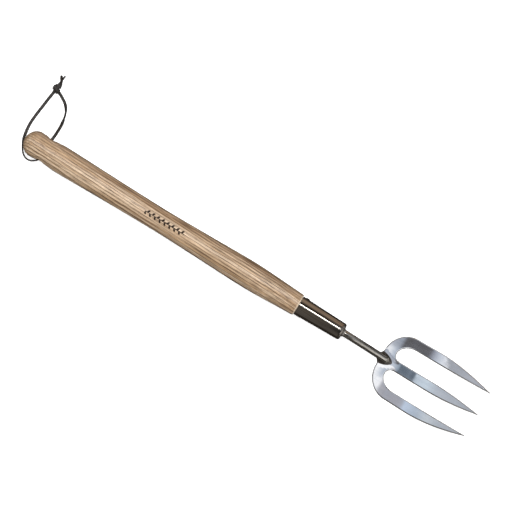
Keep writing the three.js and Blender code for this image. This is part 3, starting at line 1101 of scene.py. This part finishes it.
def makeWeldSteel(name, tones, tipShare):
    # Dressed weld: rippled and cloudy, in these four tones, brighter where it thins out at its tip.
    material, tree, shader, place = newMaterial(name)
    own = split(tree, place)
    cloud = noise(tree, place, 160, 4, 0.6, 0.5)
    heat = ramp(tree, cloud, list(zip((0.3, 0.48, 0.6, 0.72), tones)))
    tip = between(tree, own["X"], 180 * mm, 187 * mm, 0.0, tipShare)
    grain = noise(tree, place, 1500, 3, 0.6)
    toned = blended(tree, tip, heat, shade(176, 176, 178))
    pitted = times(tree, between(tree, grain, 0.5, 0.75), 0.35)
    toned = blended(tree, pitted, toned, shade(50, 45, 42))
    wire(tree, toned, shader.inputs["Base Color"])
    wire(tree, between(tree, cloud, 0.3, 0.7, 0.24, 0.42), shader.inputs["Roughness"])
    waves = {"Vector": place, "Scale": 260.0, "Distortion": 2.5, "Detail": 2.0, "Detail Scale": 2.0}
    ripple = put(tree, "ShaderNodeTexWave", waves, bands_direction="X").outputs["Fac"]
    height = plus(tree, times(tree, ripple, 0.4), times(tree, grain, 0.35))
    wire(tree, bumped(tree, height, 0.1 * mm, 0.7), shader.inputs["Normal"])
    shader.inputs["Metallic"].default_value = 1
    return material


def makeLeather():
    # Oiled black-brown lace: pebbled grain, fine creases and rubbed lighter spots.
    material, tree, shader, place = newMaterial("leather")
    pebbles = put(tree, "ShaderNodeTexVoronoi", {"Vector": place, "Scale": 1900.0}, feature="F1")
    cells = pebbles.outputs["Distance"]
    crease = noise(tree, place, 1200, 4, 0.65, 1.2)
    cloud = noise(tree, place, 110, 3, 0.6)
    base = blended(tree, between(tree, cloud, 0.35, 0.65), shade(17, 14, 12), shade(31, 26, 21))
    rubbed = times(tree, between(tree, crease, 0.52, 0.7), 0.55)
    base = blended(tree, rubbed, base, shade(68, 58, 48))
    base = blended(tree, between(tree, cells, 0.55, 0.8, 0.0, 0.7), base, shade(20, 16, 13))
    wire(tree, base, shader.inputs["Base Color"])
    wire(tree, between(tree, crease, 0.3, 0.7, 0.42, 0.66), shader.inputs["Roughness"])
    height = minus(tree, times(tree, crease, 0.5), times(tree, cells, 0.7))
    wire(tree, bumped(tree, height, 0.13 * mm), shader.inputs["Normal"])
    return material


steels = {
    # The socket's dark colour and tint are painted shade: they darken polished steel to stand in for the
    # dark surroundings it mirrors.
    "socketSteelShaded": {
        "colour": shade(136, 128, 119), "tint": shade(186, 177, 167), "roughness": 0.055,
        "density": 800.0, "length": 70.0, "brush": 0.5, "smudge": 0.04,
    },
    # The rod's colour and tint are darkened the same way, as painted shade.
    "neckSteelShaded": {
        "colour": shade(178, 173, 164), "tint": shade(206, 201, 192), "roughness": 0.13,
        "density": 1900.0, "length": 60.0, "brush": 0.7, "smudge": 0.06, "edge": 0.3,
    },
    "rivetSteel": {
        "colour": shade(130, 120, 110), "tint": shade(160, 150, 138), "roughness": 0.2,
        "density": 3000.0, "length": 6.0, "brush": 0.4, "smudge": 0.1,
    },
}
# The head weld's dark tones are heat tint and painted shade; the mouth weld's light tones are a painted
# reflection of the pale band at the socket's mouth.
weldTones = {
    "weldSteelTintAndShade": (shade(92, 86, 81), shade(112, 104, 98), shade(130, 122, 116), shade(106, 102, 105)),
    "mouthSteelPaintedReflection": (shade(150, 145, 140), shade(176, 170, 164), shade(190, 184, 178), shade(160, 157, 158)),
}

ash = makeAsh()
socketSteelShaded, neckSteelShaded, rivetSteel = [makeSteel(name, **look) for name, look in steels.items()]
mirrorSteel = makeMirrorSteel()
weldSteelTintAndShade = makeWeldSteel("weldSteelTintAndShade", weldTones["weldSteelTintAndShade"], tipShare=0.3)
mouthSteelPaintedReflection = makeWeldSteel("mouthSteelPaintedReflection", weldTones["mouthSteelPaintedReflection"], tipShare=0)
leather = makeLeather()
print("materials made")

finish = [
    (handle, ash, "fork", "handle", "ash_wood"),
    (socket, socketSteelShaded, "fork", "socket", "dark_polished_steel"),
    (rivet, rivetSteel, "fork", "socket_rivet", "rivet_steel"),
    (mouthWeld, mouthSteelPaintedReflection, "fork", "socket_weld", "weld_steel"),
    (neckRod, neckSteelShaded, "fork", "neck_rod", "neck_steel"),
    (forkHead, mirrorSteel, "fork", "fork_head", "mirror_steel"),
    (headWeld, weldSteelTintAndShade, "fork", "head_weld", "weld_steel"),
    (laceOnCord, leather, "cord", "hanging_cord", "dark_leather"),
    (knotOnCord, leather, "cord", "cord_knot", "dark_leather"),
]
for piece, material, body, node, slotName in finish:
    piece.data.materials.clear()
    piece.data.materials.append(material)
    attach(piece, body)
    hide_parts(node)

# Floor, lights and what the steel mirrors.

studio = {
    "worldLight": 0.72,
    "softPower": 20.0,
    "strips": [   # name, from x, to x, width, radiance
        ("gripStrip", -0.6, -0.1, 0.05, 6.8),
        ("socketStrip", 0.02, 0.133, 0.027, 22.0),
    ],
    "stripY": 0.058,
    "stripZ": 0.255,
    "ceilingZ": 0.5,
}


def makeFloor():
    floor = meshPiece("floor", [(-3, -3, 0), (3, -3, 0), (3, 3, 0), (-3, 3, 0)], [(0, 1, 2, 3)])
    material, tree, shader, place = newMaterial("paleFloor")
    paper = noise(tree, place, 40, 3, 0.5)
    pale = blended(tree, paper, (0.93, 0.93, 0.93, 1), (0.95, 0.95, 0.95, 1))
    wire(tree, pale, shader.inputs["Base Color"])
    shader.inputs["Roughness"].default_value = 0.7
    shader.inputs["Emission Color"].default_value = (1, 1, 1, 1)
    shader.inputs["Emission Strength"].default_value = 0.4
    floor.data.materials.append(material)
    floor.visible_glossy = False
    floor.visible_diffuse = False


def areaLight(name, place, target, size, power, glossyOnly):
    data = bpy.data.lights.new(name, "AREA")
    data.shape = "RECTANGLE"
    data.size, data.size_y = size
    data.energy = power
    light = bpy.data.objects.new(name, data)
    bpy.context.scene.collection.objects.link(light)
    aim = Vector(target) - Vector(place)
    across = Vector((1, 0, 0))
    back = -aim.normalized()
    top = back.cross(across).normalized()
    light.matrix_world = (Matrix.Translation(place)
                          @ Matrix((top.cross(back), top, back)).transposed().to_4x4())
    light.visible_camera = False
    if glossyOnly:
        light.visible_diffuse = False
    else:
        light.visible_glossy = False


def glowCard(name, corners, colourOf, oneSided=False):
    # A card that only reflections see, and from its back not at all where it is one-sided.
    card = meshPiece(name, corners, [(0, 1, 2, 3)])
    material = bpy.data.materials.new(name)
    material.use_nodes = True
    tree = material.node_tree
    tree.nodes.clear()
    place = put(tree, "ShaderNodeTexCoord").outputs["Object"]
    glow = put(tree, "ShaderNodeEmission", {"Color": colourOf(tree, split(tree, place)), "Strength": 1.0})
    shown = glow.outputs[0]
    if oneSided:
        behind = put(tree, "ShaderNodeNewGeometry").outputs["Backfacing"]
        clear = put(tree, "ShaderNodeBsdfTransparent").outputs[0]
        shown = put(tree, "ShaderNodeMixShader", {0: behind, 1: shown, 2: clear}).outputs[0]
    put(tree, "ShaderNodeOutputMaterial", {"Surface": shown})
    card.data.materials.append(material)
    for kind in ("camera", "diffuse", "shadow", "transmission", "volume_scatter"):
        setattr(card, "visible_" + kind, False)


# What the polished head mirrors, from its tips' end to its root's end: (x in metres, red, green, blue).
upperRow = [
    (-0.1, 0.34, 0.35, 0.39), (0.09, 0.46, 0.48, 0.53), (0.146, 0.33, 0.35, 0.39),
    (0.15, 0.96, 0.97, 1.0), (0.172, 0.7, 0.74, 0.81), (0.192, 0.5, 0.54, 0.62),
    (0.206, 0.28, 0.29, 0.35), (0.211, 0.11, 0.107, 0.115), (0.262, 0.115, 0.112, 0.118),
    (0.28, 0.33, 0.36, 0.42), (0.33, 0.44, 0.47, 0.54), (0.45, 0.8, 0.8, 0.82),
]
middleRow = [
    (-0.1, 0.34, 0.35, 0.39), (0.06, 0.45, 0.48, 0.53), (0.14, 0.5, 0.54, 0.6),
    (0.17, 0.62, 0.71, 0.79), (0.2135, 0.6, 0.68, 0.76), (0.2168, 0.115, 0.145, 0.185),
    (0.226, 0.14, 0.17, 0.21), (0.242, 0.28, 0.34, 0.41), (0.262, 0.38, 0.44, 0.52),
    (0.287, 0.55, 0.6, 0.68), (0.315, 0.86, 0.88, 0.92), (0.345, 1.12, 1.1, 1.06),
    (0.45, 1.2, 1.17, 1.12),
]
lowerRow = [
    (-0.1, 0.36, 0.38, 0.41), (0.06, 0.46, 0.49, 0.54), (0.13, 0.58, 0.63, 0.68),
    (0.155, 0.46, 0.53, 0.62), (0.2, 0.54, 0.63, 0.77), (0.2105, 0.42, 0.44, 0.5),
    (0.225, 0.4, 0.4, 0.44), (0.255, 0.46, 0.46, 0.5), (0.272, 1.0, 1.0, 1.02),
    (0.45, 1.15, 1.15, 1.15),
]
rowFrom, rowTo = -0.10, 0.45


def ceilingColour(tree, parts):
    x, y = parts["X"], parts["Y"]
    slant = times(tree, minus(tree, y, 0.084), -2.0)
    rows = []
    for row, shift in ((upperRow, slant), (middleRow, 0.0), (lowerRow, 0.0)):
        near = between(tree, calc(tree, "ABSOLUTE", minus(tree, x, 0.148)), 0.045, 0.02)
        at = plus(tree, x, times(tree, shift, near))
        share = calc(tree, "DIVIDE", minus(tree, at, rowFrom), rowTo - rowFrom)
        rows.append(ramp(tree, share, [((p - rowFrom) / (rowTo - rowFrom), (*c, 1)) for p, *c in row]))
    colour = blended(tree, between(tree, y, 0.026, 0.036), rows[2], rows[1])
    colour = blended(tree, between(tree, y, 0.066, 0.076), colour, rows[0])
    colour = blended(tree, between(tree, x, 0.43, 0.52), colour, (0.42, 0.43, 0.45, 1))
    # Below the head's rows it is dark. Above them it is grey over the head and dark brown over the socket.
    low = times(tree, between(tree, y, -0.004, -0.012), between(tree, x, 0.28, 0.25))
    dark = blended(tree, between(tree, x, 0.13, 0.16), (0.15, 0.14, 0.125, 1), (0.05, 0.05, 0.05, 1))
    colour = blended(tree, low, colour, dark)
    high = times(tree, between(tree, y, 0.10, 0.13), between(tree, x, 0.15, 0.165))
    high = times(tree, high, between(tree, x, 0.30, 0.27))
    colour = blended(tree, high, colour, (0.56, 0.57, 0.6, 1))
    aside = times(tree, between(tree, y, 0.095, 0.11), between(tree, x, 0.15, 0.135))
    return blended(tree, aside, colour, (0.11, 0.095, 0.08, 1))


def makeCards():
    z = studio["ceilingZ"]
    glowCard("ceilingCard", [(-1.0, -0.45, z), (0.8, -0.45, z), (0.8, 0.36, z), (-1.0, 0.36, z)],
             ceilingColour)
    glowCard("sideCard",
             [(0.185, 0.32, 0.02), (0.235, 0.32, 0.02), (0.235, 0.32, 0.46), (0.185, 0.32, 0.46)],
             lambda tree, parts: (0.44, 0.45, 0.48, 1))
    # Keeps the strips out of the head's rear edges.
    glowCard("flag", [(0.16, -0.25, 0.018), (0.16, 0.25, 0.018), (0.16, 0.25, 0.2), (0.16, -0.25, 0.2)],
             lambda tree, parts: (0.2, 0.2, 0.205, 1), True)


def makeLights():
    for name, fromX, toX, width, radiance in studio["strips"]:
        size = (toX - fromX, width)
        middle = (fromX + toX) / 2
        power = math.pi * radiance * size[0] * size[1]
        place = (middle, studio["stripY"], studio["stripZ"])
        areaLight(name, place, (middle, 0.01, 0.03), size, power, True)
    areaLight("soft", (-0.3, 0.06, 1.3), (-0.15, 0, 0), (1.3, 0.9), studio["softPower"], False)


def makeWorld():
    # White to the camera, soft light on everything, and dim graded surroundings in what mirrors.
    world = bpy.data.worlds.new("studio")
    bpy.context.scene.world = world
    world.use_nodes = True
    tree = world.node_tree
    tree.nodes.clear()
    direction = split(tree, put(tree, "ShaderNodeTexCoord").outputs["Generated"])
    rays = put(tree, "ShaderNodeLightPath").outputs
    around = ramp(tree, calc(tree, "MULTIPLY_ADD", direction["Y"], 0.5, 0.5), [
        (0, (0.19, 0.182, 0.17, 1)), (0.3, (0.125, 0.123, 0.118, 1)), (0.55, (0.12, 0.118, 0.113, 1)),
        (0.83, (0.15, 0.13, 0.115, 1)), (0.95, (0.48, 0.375, 0.29, 1)), (1, (0.48, 0.375, 0.29, 1))])
    around = blended(tree, between(tree, direction["Z"], -0.05, -0.4), around, (0.07, 0.062, 0.055, 1))
    around = blended(tree, between(tree, direction["X"], 0.06, 0.2), around, (0.08, 0.075, 0.07, 1))
    # Lighter towards both ends of the tool, above the ground.
    ends = calc(tree, "MAXIMUM", between(tree, direction["X"], 0.38, 0.5),
                between(tree, direction["X"], -0.12, -0.35))
    ends = times(tree, ends, between(tree, direction["Z"], -0.25, 0.1))
    around = blended(tree, ends, around, (0.5, 0.495, 0.49, 1))
    reflected = put(tree, "ShaderNodeBackground", {"Color": around, "Strength": 1.0})
    overhead = between(tree, direction["Z"], 0.0, 0.9, 0.35, 1.25)
    lit = times(tree, overhead, studio["worldLight"])
    strength = put(tree, "ShaderNodeMix", {0: rays["Is Camera Ray"], 2: lit, 3: 1.0}).outputs[0]
    shown = put(tree, "ShaderNodeBackground", {"Color": (1, 1, 1, 1), "Strength": strength})
    picked = put(tree, "ShaderNodeMixShader",
                 {0: rays["Is Glossy Ray"], 1: shown.outputs[0], 2: reflected.outputs[0]})
    put(tree, "ShaderNodeOutputWorld", {"Surface": picked.outputs[0]})


makeFloor()
makeCards()
makeLights()
makeWorld()
bpy.context.scene.view_settings.view_transform = "Standard"
print("floor, lights and surroundings set")
